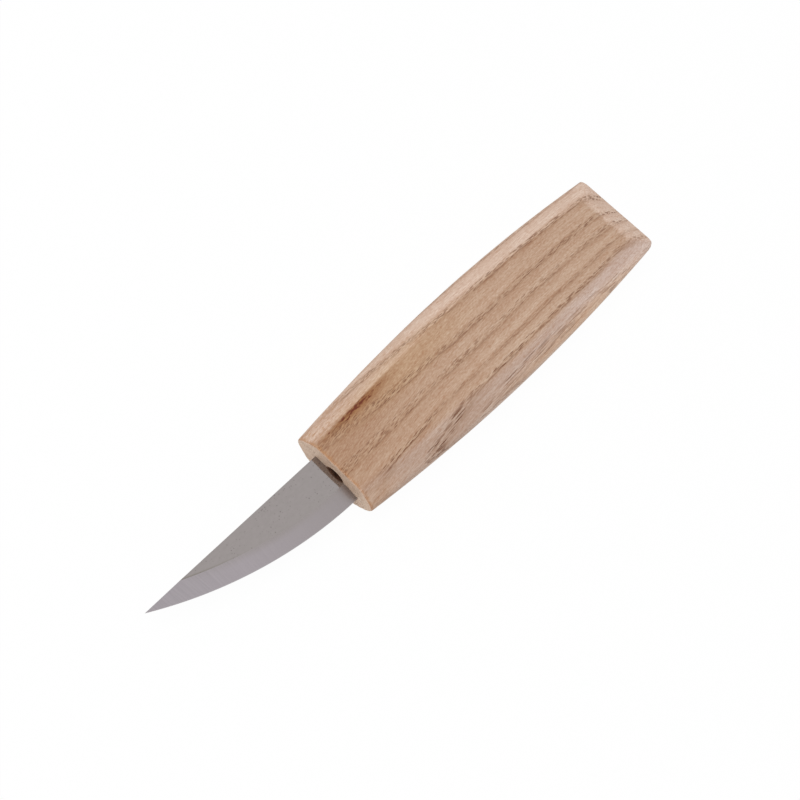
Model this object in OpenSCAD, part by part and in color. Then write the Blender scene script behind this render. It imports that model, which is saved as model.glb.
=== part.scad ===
// Wood carving knife: a short blade, ground on both sides to a curved edge, with its tang glued into
// the drilled bore of a barrel-shaped, eight-sided ash handle.
// The tip points along +X and the cutting edge faces +Y. The knife lies on the broad side of its
// handle at z = 0, and the origin is under the middle of its length.

/* [Blade] */
// Length of the blade, from the handle's front face to the tip
blade_length = 60; // [40:1:90]
// Width of the blade at the handle, from spine to edge
blade_width = 15.4; // [11:0.2:20]
// Distance of the straight spine from the handle's axis
spine_offset = 6.9; // [4.5:0.1:8.5]
// Thickness of the blade between its flats
blade_thickness = 2; // [1.4:0.1:3.2]
// Width of the ground bevel, on each side of the edge
bevel_width = 5.3; // [3:0.1:9]

/* [Tang] */
// Length of the tang behind the blade's shoulders
tang_length = 64; // [40:1:80]
// Width of the tang at the shoulders
tang_width = 5.2; // [4:0.1:8]
// How far each broad side of the tang is filed below the blade's flat
tang_step = 0.1; // [0.05:0.05:0.3]
// Width of the tang at its far end
tang_end_width = 4.2; // [3.4:0.1:6]
// Length of the tang's pointed end
tang_point_length = 3; // [1:0.5:6]
// Number of keying notches along each edge of the tang
notch_count = 3; // [1:1:6]
// Radius of each keying notch
notch_radius = 0.8; // [0.4:0.1:1.2]

/* [Handle] */
// Length of the handle along its axis
handle_length = 110; // [95:1:150]
// Width of the handle at its middle
handle_width = 31.8; // [28:0.2:40]
// Thickness of the handle at its middle
handle_thickness = 20; // [17:0.5:26]
// How far each narrow side swells from the ends to the middle
side_swell = 2.7; // [1:0.1:4]
// How far each broad side swells from the ends to the middle
face_swell = 3.35; // [1:0.05:4]
// Length of the flat left at the middle of each broad side
board_face_length = 36; // [10:1:50]
// Width of the bevel along each of the four long corners
corner_bevel = 7.5; // [5:0.1:9]
// Width of the eased strip between a broad side and a corner bevel
broad_edge_ease = 2.6; // [0.8:0.1:3.4]
// Width of the eased strip between a corner bevel and a narrow side
side_edge_ease = 2.2; // [0.8:0.1:2.6]

/* [Handle ends] */
// Angle by which the front face leans away from square, in plan
front_skew = 1.7; // [0:0.1:4]
// Angle by which the butt leans away from square, in plan
butt_skew = 4.2; // [0:0.1:8]
// Height of the upright strip left on the butt between its chamfers
butt_land = 4.2; // [2:0.1:8]
// Length of the chamfer from the butt along each broad side
butt_chamfer_length = 6.6; // [2:0.1:12]
// Radius of the butt's corner on the edge side, in plan
butt_edge_radius = 2.2; // [0.5:0.1:4]
// Radius of the butt's corner on the spine side, in plan
butt_spine_radius = 0.6; // [0.3:0.1:4]

/* [Tang bore] */
// Gap left for adhesive between the tang's corners and the bore
glue_gap = 0.25; // [0.05:0.01:0.8]
// Depth of the empty mouth in front of the adhesive
glue_recess = 7; // [2:0.5:20]
// Room left between the tang's end and the end of the bore
bore_end_room = 4; // [1:0.5:10]
// Point angle of the drill that made the bore
drill_point_angle = 118; // [90:1:140]

/* [Hidden] */

// Facets on the round shapes of long radius
long_round = 720;
// Facets on small round shapes
small_round = 64;
// Overshoot of a cut past the surface that it cuts
past = 1;

// The edge is one arc, which runs along the axis at the handle and falls to the spine at the tip
edge_heel_y = blade_width - spine_offset;
edge_radius = (blade_length * blade_length + blade_width * blade_width) / (2 * blade_width);
edge_centre_y = edge_heel_y - edge_radius;

tang_thickness = blade_thickness - 2 * tang_step;
bore_radius = norm([tang_width, tang_thickness]) / 2 + glue_gap;
bore_depth = tang_length + bore_end_room;
drill_point_length = bore_radius / tan(drill_point_angle / 2);

// The handle's section is an octagon with eased corners, sixteen facets in all, of five kinds from
// the broad side round to the narrow side. A facet's reach is its distance from the handle's axis.
facet_count = 16;
facet_turn = 360 / facet_count;
function ease_depth(width) = width / 2 / tan(90 - facet_turn);
function facet_reaches(broad, side) =
    let (bevel = (broad + side) / sqrt(2) - corner_bevel / 2)
    [
        broad,
        (broad + bevel) / 2 / cos(facet_turn) - ease_depth(broad_edge_ease),
        bevel,
        (bevel + side) / 2 / cos(facet_turn) - ease_depth(side_edge_ease),
        side
    ];
function facet_kind(turn) = 4 - abs(4 - turn % 8);
half_length = handle_length / 2;
middle_reaches = facet_reaches(handle_thickness / 2, handle_width / 2);
end_reaches = facet_reaches(handle_thickness / 2 - face_swell, handle_width / 2 - side_swell);

// Each facet is part of a drum of long radius, whose arc passes through the facet's reach at half its
// flat and its reach at the handle's end. Only the broad sides keep a flat.
function half_flat(kind) = kind == 0 ? board_face_length / 2 : 0;
function square_distance(along, reach) = along * along + reach * reach;
function drum_centre(kind) =
    let (at_flat = square_distance(half_flat(kind), middle_reaches[kind]))
    let (at_end = square_distance(half_length, end_reaches[kind]))
    (at_flat - at_end) / (2 * (middle_reaches[kind] - end_reaches[kind]));
function drum_radius(kind) = norm([half_flat(kind), middle_reaches[kind] - drum_centre(kind)]);

// Where the leaning butt meets a narrow side, measured along the butt from the axis. The lean is
// positive on the edge side and negative on the spine side.
side_kind = 4;
side_slope = asin(half_length / drum_radius(side_kind));
function butt_corner(lean) =
    let (across = half_length * sin(lean) - drum_centre(side_kind) * cos(lean))
    let (rest = pow(half_length, 2) + pow(drum_centre(side_kind), 2) - pow(drum_radius(side_kind), 2))
    sqrt(across * across - rest) - across;
function corner_angle(lean) = 90 + side_slope - lean;
function corner_tangent(lean, radius) = radius / tan(corner_angle(lean) / 2);

// The butt's chamfers run from the land to the broad sides
broad_at_chamfer =
    drum_centre(0) + sqrt(pow(drum_radius(0), 2) - pow(half_length - butt_chamfer_length, 2));
butt_chamfer_depth = broad_at_chamfer - butt_land / 2;

// Places in the part's frame: the rounded corner on the edge side is the butt's furthest point back
butt_overhang =
    (butt_corner(butt_skew) - corner_tangent(butt_skew, butt_edge_radius)) * sin(butt_skew)
    + butt_edge_radius * (1 - cos(butt_skew));
front_x = (handle_length + butt_overhang - blade_length) / 2;
butt_x = front_x - handle_length;
axis_z = handle_thickness / 2;
function front_face_x(y) = front_x - y * tan(front_skew);

// Disc with a double-bevelled rim, whose rim is the cutting edge
module edge_disc() {
    grind_radius = edge_radius - bevel_width;
    half_thickness = blade_thickness / 2;
    rim = [
        [0, -half_thickness],
        [grind_radius, -half_thickness],
        [edge_radius, 0],
        [grind_radius, half_thickness],
        [0, half_thickness]
    ];
    translate([front_x, edge_centre_y, axis_z])
        rotate_extrude($fn = long_round)
            polygon(rim);
}

// Plan of the blade's field in front of its shoulders and on the edge side of its spine
module blade_field() {
    ahead_x = front_x + blade_length + past;
    beside_y = edge_heel_y + past;
    field = [
        [front_face_x(-spine_offset), -spine_offset],
        [ahead_x, -spine_offset],
        [ahead_x, beside_y],
        [front_face_x(beside_y), beside_y]
    ];
    translate([0, 0, axis_z - blade_thickness])
        linear_extrude(2 * blade_thickness)
            polygon(field);
}

// Tapered tang with a pointed end and keying notches along both edges
module tang() {
    end_x = front_x - tang_length;
    taper_length = tang_length - tang_point_length;
    half_width = tang_width / 2;
    half_end = tang_end_width / 2;
    outline = [
        [front_x + past, -half_width / 2],
        [front_x + past, half_width / 2],
        [front_face_x(half_width), half_width],
        [end_x + tang_point_length, half_end],
        [end_x, half_end / 2],
        [end_x, -half_end / 2],
        [end_x + tang_point_length, -half_end],
        [front_face_x(-half_width), -half_width]
    ];
    translate([0, 0, axis_z - tang_thickness / 2])
        linear_extrude(tang_thickness)
            difference() {
                polygon(outline);
                for (notch = [1 : notch_count], side = [-1, 1]) {
                    share = notch / (notch_count + 1);
                    edge_y = half_width + (half_end - half_width) * share;
                    translate([front_x - taper_length * share, side * edge_y])
                        circle(r = notch_radius, $fn = small_round);
                }
            }
}

// Drilled hole for the tang, from the given depth behind the front face to the drill's point
module tang_bore(start) {
    translate([front_x - start, 0, axis_z])
        rotate([0, -90, 0]) {
            cylinder(r = bore_radius, h = bore_depth - start, $fn = small_round);
            translate([0, 0, bore_depth - start])
                cylinder(r1 = bore_radius, r2 = 0, h = drill_point_length, $fn = small_round);
        }
}

// Drum of long radius whose surface is one facet of the handle, turned from +Z towards +Y
module facet_drum(turn) {
    kind = facet_kind(turn);
    rotate([-turn * facet_turn, 0, 0])
        translate([front_x - half_length, 0, drum_centre(kind)])
            rotate([90, 0, 0])
                cylinder(r = drum_radius(kind), h = 2 * handle_width, center = true, $fn = long_round);
}

// Barrel that the handle is cut from, about the handle's axis, with its two flats
module handle_barrel() {
    intersection() {
        intersection_for(turn = [0 : facet_count - 1])
            facet_drum(turn);
        cube([4 * handle_length, 2 * handle_width, handle_thickness], center = true);
    }
}

// Plan between the leaning front face and the leaning butt
module handle_plan() {
    reach = handle_width;
    polygon([
        [front_face_x(-reach), -reach],
        [front_face_x(reach), reach],
        [butt_x - reach * tan(butt_skew), reach],
        [butt_x + reach * tan(butt_skew), -reach]
    ]);
}

// Waste outside the rounded corner of the butt, in plan, with the corner at the origin, the butt
// along -Y and the narrow side turned from it by the corner's angle
module corner_waste(lean, radius) {
    angle = corner_angle(lean);
    tangent = corner_tangent(lean, radius);
    middle = [radius, -tangent];
    difference() {
        polygon([-middle / 4, [0, -tangent], middle, tangent * [sin(angle), -cos(angle)]]);
        translate(middle)
            circle(r = radius, $fn = small_round);
    }
}

// Cuts that shape the butt: a chamfer on each broad side and a round on each corner
module butt_cuts() {
    slope = butt_chamfer_depth / butt_chamfer_length;
    run = 2 * butt_chamfer_length;
    land = butt_land / 2;
    chamfer_waste = [
        [-past, land - past * slope],
        [run, land + run * slope],
        [-past, land + run * slope]
    ];
    translate([butt_x, 0, 0])
        rotate([0, 0, butt_skew]) {
            for (face = [0, 1])
                mirror([0, 0, face])
                    rotate([90, 0, 0])
                        linear_extrude(2 * handle_width, center = true)
                            polygon(chamfer_waste);
            translate([0, butt_corner(butt_skew), 0])
                linear_extrude(2 * handle_thickness, center = true)
                    corner_waste(butt_skew, butt_edge_radius);
            translate([0, -butt_corner(-butt_skew), 0])
                mirror([0, 1, 0])
                    linear_extrude(2 * handle_thickness, center = true)
                        corner_waste(-butt_skew, butt_spine_radius);
        }
}

module blade() {
    color("#98948f") {
        intersection() {
            edge_disc();
            blade_field();
        }
        tang();
    }
}

module handle() {
    color("#c8a686")
        difference() {
            translate([0, 0, axis_z])
                difference() {
                    intersection() {
                        handle_barrel();
                        linear_extrude(2 * handle_thickness, center = true)
                            handle_plan();
                    }
                    butt_cuts();
                }
            tang_bore(-past);
        }
}

module tang_adhesive() {
    color("#8a7346")
        difference() {
            tang_bore(glue_recess);
            tang();
        }
}

blade();
handle();
tang_adhesive();
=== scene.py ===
"""Wood carving knife: a ground steel blade glued into a barrel-shaped, eight-sided ash handle.

The tip points along +X, the cutting edge faces +Y, and the knife lies on the floor at z = 0.
Lengths are in metres, written as millimetres times MM.
"""

import logging
import math
from dataclasses import dataclass, field
from enum import Enum
from typing import Callable

import bmesh
import bpy
from mathutils import Matrix, Quaternion, Vector, noise


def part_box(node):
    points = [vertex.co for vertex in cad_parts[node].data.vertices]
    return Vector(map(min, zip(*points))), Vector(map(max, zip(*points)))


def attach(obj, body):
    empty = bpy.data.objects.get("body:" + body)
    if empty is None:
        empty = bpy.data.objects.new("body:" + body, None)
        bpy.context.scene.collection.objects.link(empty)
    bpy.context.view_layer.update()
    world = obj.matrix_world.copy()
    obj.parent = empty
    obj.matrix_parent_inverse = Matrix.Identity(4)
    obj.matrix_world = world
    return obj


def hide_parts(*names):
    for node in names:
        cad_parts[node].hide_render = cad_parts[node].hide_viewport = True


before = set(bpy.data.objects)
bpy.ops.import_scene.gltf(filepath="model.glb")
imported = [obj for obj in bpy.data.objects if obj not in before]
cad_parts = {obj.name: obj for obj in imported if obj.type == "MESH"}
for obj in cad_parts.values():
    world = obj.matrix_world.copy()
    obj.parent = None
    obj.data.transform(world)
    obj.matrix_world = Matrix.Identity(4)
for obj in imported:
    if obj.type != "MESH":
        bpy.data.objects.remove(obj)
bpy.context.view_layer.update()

MM = 0.001
CUT_REACH = 1e-8  # Distance within which a point counts as lying on a cut
GRIND_MAP = "grind"
log = logging.getLogger("carving_knife")

Colour = tuple[float, float, float, float]
Triple = tuple[float, float, float]
Tree = bpy.types.NodeTree
Source = bpy.types.Node | bpy.types.NodeSocket


def linear(hex_colour: str) -> Colour:
    """Turns an sRGB colour into the linear one that shaders take.

    Args:
        hex_colour: Colour as a hash sign and six hex digits.

    Returns:
        Linear red, green and blue, and an alpha of 1.
    """
    parts = [int(hex_colour[start:start + 2], 16) / 255 for start in (1, 3, 5)]
    straight = [part / 12.92 if part <= 0.04045 else ((part + 0.055) / 1.055) ** 2.4 for part in parts]
    return (*straight, 1.0)


def ease(distance: float, radius: float) -> float:
    """Set-back of a surface that a rounded edge takes away, near the face that it rounds into.

    Args:
        distance: How far the place is from that face.
        radius: Radius of the rounded edge.

    Returns:
        Depth below the unrounded surface.
    """
    rest = min(max(radius - distance, 0.0), radius)
    return radius - math.sqrt(radius * radius - rest * rest)


def soft_min(first: float, second: float, blend: float) -> float:
    """Smaller of two lengths, with a rounded change from one to the other.

    Args:
        first: One length.
        second: The other length.
        blend: Difference in length over which the change is rounded.

    Returns:
        The smaller length, less a little where the two are close.
    """
    share = min(max(0.5 + (second - first) / (2 * blend), 0.0), 1.0)
    return second + (first - second) * share - blend * share * (1 - share)


class Node(Enum):
    """Shader nodes in use, by the names that Blender gives them."""

    OUTPUT = "ShaderNodeOutputMaterial"
    WORLD_OUTPUT = "ShaderNodeOutputWorld"
    SURFACE = "ShaderNodeBsdfPrincipled"
    BACKGROUND = "ShaderNodeBackground"
    EMISSION = "ShaderNodeEmission"
    MIX_SHADER = "ShaderNodeMixShader"
    LIGHT_PATH = "ShaderNodeLightPath"
    COORDINATES = "ShaderNodeTexCoord"
    UV_MAP = "ShaderNodeUVMap"
    MAPPING = "ShaderNodeMapping"
    SEPARATE = "ShaderNodeSeparateXYZ"
    COMBINE = "ShaderNodeCombineXYZ"
    MATH = "ShaderNodeMath"
    VECTOR_MATH = "ShaderNodeVectorMath"
    RANGE = "ShaderNodeMapRange"
    NOISE = "ShaderNodeTexNoise"
    CELLS = "ShaderNodeTexVoronoi"
    RAMP = "ShaderNodeValToRGB"
    MIX = "ShaderNodeMix"
    BUMP = "ShaderNodeBump"


def add_node(tree: Tree, kind: Node, inputs: dict | None = None, **options) -> bpy.types.Node:
    """Adds a shader node, sets its options and fills or links its inputs.

    Args:
        tree: Node tree that takes the node.
        kind: Kind of node.
        inputs: Value, socket or node for each input, by the input's name or index.
        **options: The node's own settings.

    Returns:
        The new node.
    """
    node = tree.nodes.new(kind.value)
    for option, value in options.items():
        setattr(node, option, value)
    for key, value in (inputs or {}).items():
        named = [socket for socket in node.inputs if socket.enabled and socket.name == key]
        socket = named[0] if named else node.inputs[key]
        if isinstance(value, bpy.types.Node):
            value = next(output for output in value.outputs if output.enabled)
        if isinstance(value, bpy.types.NodeSocket):
            tree.links.new(value, socket)
        else:
            socket.default_value = value
    return node


def new_material(name: str) -> bpy.types.Material:
    """Makes an empty material.

    Args:
        name: Name of the real material and its finish.

    Returns:
        The material, with a node tree that holds nothing yet.
    """
    material = bpy.data.materials.new(name)
    material.use_nodes = True
    material.node_tree.nodes.clear()
    return material


def fill_ramp(ramp: bpy.types.Node, stops: tuple[tuple[float, str], ...]) -> None:
    """Sets a colour ramp's stops.

    Args:
        ramp: Colour ramp node.
        stops: Places from 0 to 1, each with its colour.
    """
    elements = ramp.color_ramp.elements
    while len(elements) < len(stops):
        elements.new(0.5)
    for element, (place, colour) in zip(elements, stops):
        element.position = place
        element.color = linear(colour)


@dataclass(frozen=True)
class Seat:
    """Middle of the handle's front face, where the blade's shoulders meet the wood."""

    x: float
    z: float
    skew: float

    def face_x(self, y: float) -> float:
        """Place of the leaning front face along X, at a distance across the knife."""
        return self.x - y * math.tan(self.skew)


@dataclass(frozen=True)
class Change:
    """Change from low to high, while another amount goes from start to end.

    The last word of many a field's name tells that amount: behind and across are millimetres from the front
    face and from the middle, facing is how squarely a surface faces a way, and along is a share of the edge.
    """

    start: float
    end: float
    low: float = 0.0
    high: float = 1.0

    @property
    def limits(self) -> dict[str, float]:
        """The four numbers, by the inputs that take them."""
        return {"From Min": self.start, "From Max": self.end, "To Min": self.low, "To Max": self.high}


def place_in_mm(tree: Tree, unrolled: str | None = None) -> bpy.types.Node:
    """Adds nodes for the place in the part's frame, or on a surface that is unrolled.

    Args:
        tree: Node tree that takes the nodes.
        unrolled: Name of the map that the surface is unrolled on, if it is.

    Returns:
        The node with the place, in millimetres.
    """
    if unrolled:
        place = add_node(tree, Node.UV_MAP, uv_map=unrolled)
    else:
        place = add_node(tree, Node.COORDINATES).outputs["Object"]
    return add_node(tree, Node.MAPPING, {"Vector": place, "Scale": (MM,) * 3}, vector_type="TEXTURE")


def stretched_noise(
    tree: Tree, place: Source, size_mm: Triple, detail: float = 2.0, turn: float = 0.0,
) -> bpy.types.Node:
    """Adds a soft random pattern whose spots have a given size.

    Args:
        tree: Node tree that takes the nodes.
        place: Place in the material, in millimetres.
        size_mm: Size of a spot along X, Y and Z.
        detail: How far the pattern is refined within a spot.
        turn: Angle about Z that the spots are turned by.

    Returns:
        The node with the pattern, which goes from 0 to 1 and is mostly near 0.5.
    """
    spots = add_node(tree, Node.MAPPING, {
        "Vector": place, "Rotation": (0, 0, turn), "Scale": size_mm,
    }, vector_type="TEXTURE")
    return add_node(tree, Node.NOISE, {"Vector": spots, "Scale": 1.0, "Detail": detail})


def lay_coats(tree: Tree, colour: Source | Colour, *coats: tuple[Source, str]) -> bpy.types.Node:
    """Adds nodes that lay coats of other colours over a colour, one after the other.

    Args:
        tree: Node tree that takes the nodes.
        colour: Colour underneath.
        *coats: How much each coat covers, from 0 to 1, and its colour.

    Returns:
        The node with the new colour.
    """
    for cover, tint in coats:
        colour = add_node(tree, Node.MIX, {
            "Factor": cover, "A": colour, "B": linear(tint),
        }, data_type="RGBA")
    return colour


@dataclass(frozen=True)
class WoodPlace:
    """Where a point of the wood lies, in millimetres, and which way its surface faces.

    Attributes:
        tree: Node tree that the nodes are in.
        from_seat: Place from the seat.
        across: Distance from the seat along Y.
        up: Distance from the seat along Z.
        behind_face: Distance behind the leaning front face.
        grain: Place along the handle, and across it from the pith.
        unrolled: Place along the handle, round the pith and out from it.
        edgeward: How squarely the surface faces the edge side, from -1 on the spine side to 1.
        sideways: How squarely it faces either of the two, from 0 to 1.
        upright: How squarely it faces up or down, from 0 to 1.
        endwise: How squarely it faces an end, from 0 to 1.
    """

    tree: Tree
    from_seat: Source
    across: Source
    up: Source
    behind_face: Source
    grain: Source
    unrolled: Source
    edgeward: Source
    sideways: Source
    upright: Source
    endwise: Source


@dataclass(frozen=True)
class Spot:
    """Place in the wood that differs from the rest.

    Its middle and reach are along X, Y and Z. Within its core, a share of the reach, the amount is full.
    """

    middle_mm: Triple
    reach_mm: Triple
    amount: float = 1.0
    core: float = 0.2

    def away(self, wood: WoodPlace) -> bpy.types.NodeSocket:
        """Adds nodes for the distance from the spot's middle.

        Args:
            wood: Place in the wood.

        Returns:
            The socket with the distance, as a share of the reach.
        """
        offset = add_node(wood.tree, Node.MAPPING, {
            "Vector": wood.from_seat, "Location": self.middle_mm, "Scale": self.reach_mm,
        }, vector_type="TEXTURE")
        return add_node(wood.tree, Node.VECTOR_MATH, {0: offset}, operation="LENGTH").outputs["Value"]

    def fade(self, wood: WoodPlace) -> bpy.types.Node:
        """Adds nodes for how much the wood differs.

        Args:
            wood: Place in the wood.

        Returns:
            The node with the spot's amount in its core, which fades to 0 at its reach.
        """
        fading = Change(1.0, self.core, 0.0, self.amount)
        return add_node(wood.tree, Node.RANGE, {
            "Value": self.away(wood), **fading.limits,
        }, interpolation_type="SMOOTHSTEP")


@dataclass(frozen=True)
class Ring:
    """One year's ring: how far from the pith it ends, and how wide and how open its pores are there."""

    end_mm: float
    pores_mm: float
    openness: float


@dataclass(frozen=True)
class GrowthRings:
    """Yearly rings round a bent pith, which runs outside the wood.

    The pith's three numbers for each direction are its place at the middle of the handle, its lean and
    its bend. The rings wander slowly and are ragged close up. Towards the butt the outer ones crowd
    together, and on its chamfers all of them turn outwards.
    """

    half_length_mm: float
    chamfer_mm: float
    half_land_mm: float
    pith_across_mm: Triple = (-17.1, 3.45, 3.25)
    pith_up_mm: Triple = (-8.6, -2.83, -4.96)
    rings: tuple[Ring, ...] = (
        Ring(2.4, 0.8, 0.8), Ring(7.4, 1.0, 0.9), Ring(13.6, 1.2, 0.9), Ring(19.8, 1.3, 0.95),
        Ring(23.4, 0.9, 0.85), Ring(26.5, 1.3, 0.65), Ring(30.0, 0.8, 0.5), Ring(32.7, 1.0, 1.0),
        Ring(35.1, 1.2, 0.8), Ring(38.3, 1.1, 1.0),
    )
    wander_mm: float = 0.6
    wander_size_mm: Triple = (28, 7, 7)
    ragged_mm: float = 0.4
    ragged_size_mm: Triple = (6, 0.8, 0.8)
    shifts_mm: tuple[Spot, ...] = (
        Spot((-16.0, 8.0, 8.0), (20.0, 5.0, 6.0), -0.35),
        Spot((-8.0, -12.5, 5.0), (50.0, 6.5, 9.0), 1.7),
        Spot((-101.0, 7.5, 6.5), (17.0, 5.5, 7.0), 0.8),
    )
    crowding_behind: Change = Change(70.0, 110.0, 0.0, 1.2)
    crowding_out: Change = Change(31.0, 34.0)
    turn_mm: float = 1.9

    def find_place(self, tree: Tree, seat: Seat) -> WoodPlace:
        """Adds nodes for where a point of the wood lies.

        Args:
            tree: Node tree that takes the nodes.
            seat: Place that the wood is measured from.

        Returns:
            The place.
        """
        coordinates = add_node(tree, Node.COORDINATES)
        from_seat = add_node(tree, Node.MAPPING, {
            "Vector": coordinates.outputs["Object"], "Location": (seat.x, 0, seat.z), "Scale": (MM,) * 3,
        }, vector_type="TEXTURE")
        at = add_node(tree, Node.SEPARATE, {0: from_seat}).outputs
        lean = (-1, -math.tan(seat.skew), 0)
        behind = add_node(tree, Node.VECTOR_MATH, {0: from_seat, 1: lean}, operation="DOT_PRODUCT")
        facing = add_node(tree, Node.SEPARATE, {0: coordinates.outputs["Normal"]}).outputs
        endwise, sideways, upright = (
            add_node(tree, Node.MATH, {0: facing[axis]}, operation="ABSOLUTE") for axis in "XYZ"
        )
        grain = self.follow_grain(tree, from_seat)
        return WoodPlace(
            tree, from_seat, at["Y"], at["Z"], behind.outputs["Value"], grain, self.unroll(tree, grain),
            facing["Y"], sideways, upright, endwise,
        )

    def follow_grain(self, tree: Tree, from_seat: Source) -> bpy.types.Node:
        """Adds nodes that bend the place with the grain.

        Args:
            tree: Node tree that takes the nodes.
            from_seat: Place from the seat.

        Returns:
            The node with the place along the handle, and across it from the pith.
        """
        at = add_node(tree, Node.SEPARATE, {0: from_seat}).outputs
        along = add_node(tree, Node.MATH, {
            0: at["X"], 1: 1 / self.half_length_mm, 2: 1.0,
        }, operation="MULTIPLY_ADD")
        from_pith = []
        for axis, (middle, lean, bend) in (("Y", self.pith_across_mm), ("Z", self.pith_up_mm)):
            slope = add_node(tree, Node.MATH, {0: along, 1: bend, 2: lean}, operation="MULTIPLY_ADD")
            pith = add_node(tree, Node.MATH, {0: slope, 1: along, 2: middle}, operation="MULTIPLY_ADD")
            from_pith.append(add_node(tree, Node.MATH, {0: at[axis], 1: pith}, operation="SUBTRACT"))
        return add_node(tree, Node.COMBINE, {"X": at["X"], "Y": from_pith[0], "Z": from_pith[1]})

    def unroll(self, tree: Tree, grain: Source) -> bpy.types.Node:
        """Adds nodes that unroll the rings into flat sheets.

        Args:
            tree: Node tree that takes the nodes.
            grain: Place that follows the grain.

        Returns:
            The node with the place along the handle, round the pith and out from it.
        """
        from_pith = add_node(tree, Node.SEPARATE, {0: grain}).outputs
        turn = add_node(tree, Node.MATH, {0: from_pith["Z"], 1: from_pith["Y"]}, operation="ARCTAN2")
        middle_mm = sum(ring.end_mm for ring in self.rings) / len(self.rings)
        around = add_node(tree, Node.MATH, {0: turn, 1: middle_mm}, operation="MULTIPLY")
        across = add_node(tree, Node.VECTOR_MATH, {0: grain, 1: (0, 1, 1)}, operation="MULTIPLY")
        out = add_node(tree, Node.VECTOR_MATH, {0: across}, operation="LENGTH").outputs["Value"]
        return add_node(tree, Node.COMBINE, {"X": from_pith["X"], "Y": around, "Z": out})

    def bent_radius(self, wood: WoodPlace) -> bpy.types.Node:
        """Adds nodes for the distance from the pith, with all that sets the rings off from true circles.

        Args:
            wood: Place in the wood.

        Returns:
            The node with the distance in millimetres.
        """
        tree = wood.tree
        radius = add_node(tree, Node.SEPARATE, {0: wood.unrolled}).outputs["Z"]
        for reach_mm, size_mm, detail in (
            (self.wander_mm, self.wander_size_mm, 3.0), (self.ragged_mm, self.ragged_size_mm, 2.0),
        ):
            pattern = stretched_noise(tree, wood.grain, size_mm, detail)
            off = add_node(tree, Node.MATH, {0: pattern, 1: 0.5}, operation="SUBTRACT")
            radius = add_node(tree, Node.MATH, {0: off, 1: reach_mm, 2: radius}, operation="MULTIPLY_ADD")
        for spot in self.shifts_mm:
            radius = add_node(tree, Node.MATH, {0: radius, 1: spot.fade(wood)}, operation="ADD")

        near_butt = add_node(tree, Node.RANGE, {"Value": wood.behind_face, **self.crowding_behind.limits})
        crowded = add_node(tree, Node.RANGE, {
            "Value": radius, **self.crowding_out.limits, "To Max": near_butt,
        })
        radius = add_node(tree, Node.MATH, {0: radius, 1: crowded}, operation="ADD")
        length_mm = 2 * self.half_length_mm
        chamfer = Change(length_mm - self.chamfer_mm, length_mm, 0.0, self.turn_mm)
        above = add_node(tree, Node.RANGE, {"Value": wood.behind_face, **chamfer.limits})
        below = add_node(tree, Node.MATH, {0: above, 1: -1.0}, operation="MULTIPLY")
        land = Change(-self.half_land_mm, self.half_land_mm)
        turned = add_node(tree, Node.RANGE, {
            "Value": wood.up, **land.limits, "To Min": below, "To Max": above,
        })
        return add_node(tree, Node.MATH, {0: radius, 1: turned}, operation="ADD")

    def cross(self, wood: WoodPlace) -> tuple[Source, Source, Source]:
        """Adds nodes for the place within the rings.

        Args:
            wood: Place in the wood.

        Returns:
            The share of the way across the ring and across its rows of pores, each from 0 to 1, and how
            open the pores are.
        """
        tree = wood.tree
        radius = self.bent_radius(wood)
        start, count, rows, openness = 0.0, 0.0, 0.0, self.rings[0].openness
        for ring, following in zip(self.rings, self.rings[1:]):
            year, porous = Change(start, ring.end_mm), Change(ring.end_mm - ring.pores_mm, ring.end_mm)
            grown, opened = (
                add_node(tree, Node.RANGE, {"Value": radius, **change.limits}) for change in (year, porous)
            )
            past = add_node(tree, Node.MATH, {0: radius, 1: ring.end_mm}, operation="GREATER_THAN")
            count = add_node(tree, Node.MATH, {0: count, 1: grown}, operation="ADD")
            rows = add_node(tree, Node.MATH, {0: rows, 1: opened}, operation="ADD")
            openness = add_node(tree, Node.MATH, {
                0: past, 1: following.openness - ring.openness, 2: openness,
            }, operation="MULTIPLY_ADD")
            start = ring.end_mm
        share, row_share = (
            add_node(tree, Node.MATH, {0: years}, operation="FRACT") for years in (count, rows)
        )
        return share, row_share, openness


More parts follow.
